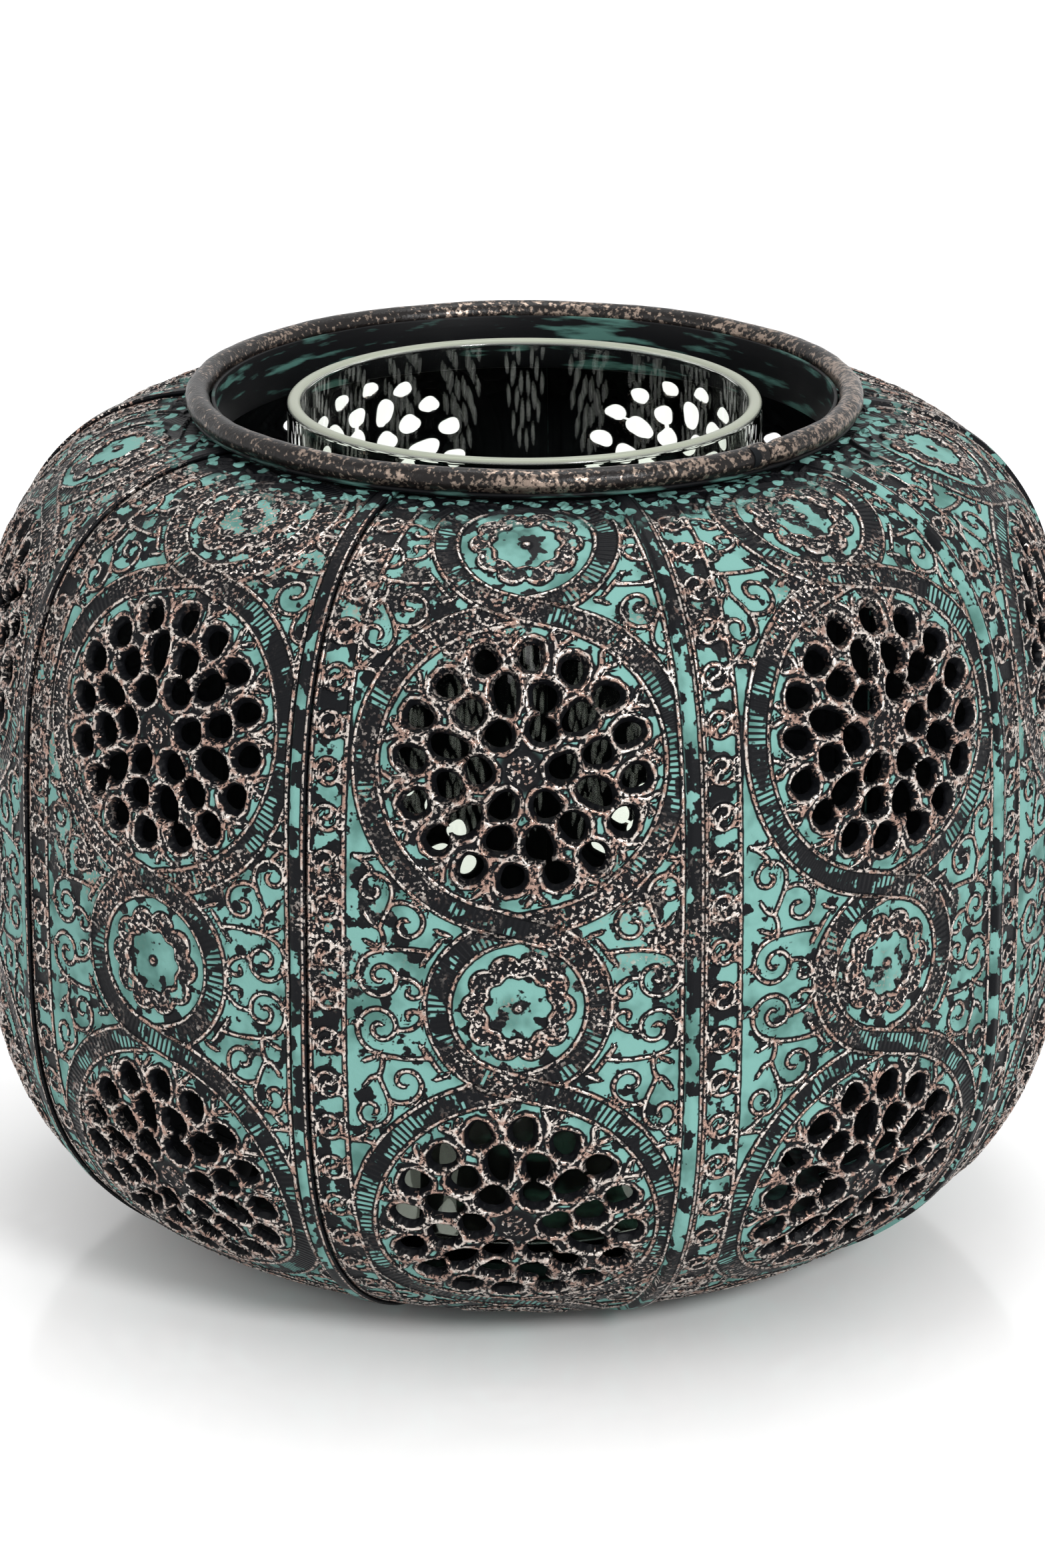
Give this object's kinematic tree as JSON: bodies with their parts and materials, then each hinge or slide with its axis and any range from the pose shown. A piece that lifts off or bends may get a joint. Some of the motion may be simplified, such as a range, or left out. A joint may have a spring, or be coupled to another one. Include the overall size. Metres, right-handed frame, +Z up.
{
  "type": "tealight holder",
  "caption": "Pot-bellied openwork metal tealight lantern of lapped stamped panels, with a rolled neck bead and a loose clear glass cylinder inside.",
  "frame": {"origin": "centre of the base plate's underside, on the surface that the holder stands on", "axes": "+Z up through the neck; -Y towards the viewer, through the middle of panel_1"},
  "size_m": [0.1803, 0.1811, 0.1446],
  "materials": {
    "patinated_sheet": "teal patina in the hollows, charcoal beside the ridges, copper and silver rubbed on their crests",
    "rubbed_bead": "black and brown, rubbed to bare metal in speckles",
    "blackened_sheet": "black with smears of teal",
    "clear_glass": "clear, with a faint green-grey edge"
  },
  "bodies": {
    "shell": {"panel_1": "patinated_sheet", "panel_2": "patinated_sheet", "panel_3": "patinated_sheet", "panel_4": "patinated_sheet", "panel_5": "patinated_sheet", "panel_6": "patinated_sheet", "panel_7": "patinated_sheet", "panel_8": "patinated_sheet", "panel_9": "patinated_sheet", "neck_collar": "blackened_sheet", "rim_bead": "rubbed_bead", "base_plate": "blackened_sheet", "foot_ring": "blackened_sheet"},
    "glass": {"glass_insert": "clear_glass"}
  },
  "joints": [
    {"name": "glass_lift", "type": "slide", "parent": "shell", "child": "glass", "axis": [0, 0, 1], "range_m": [0, 0.155]}
  ]
}
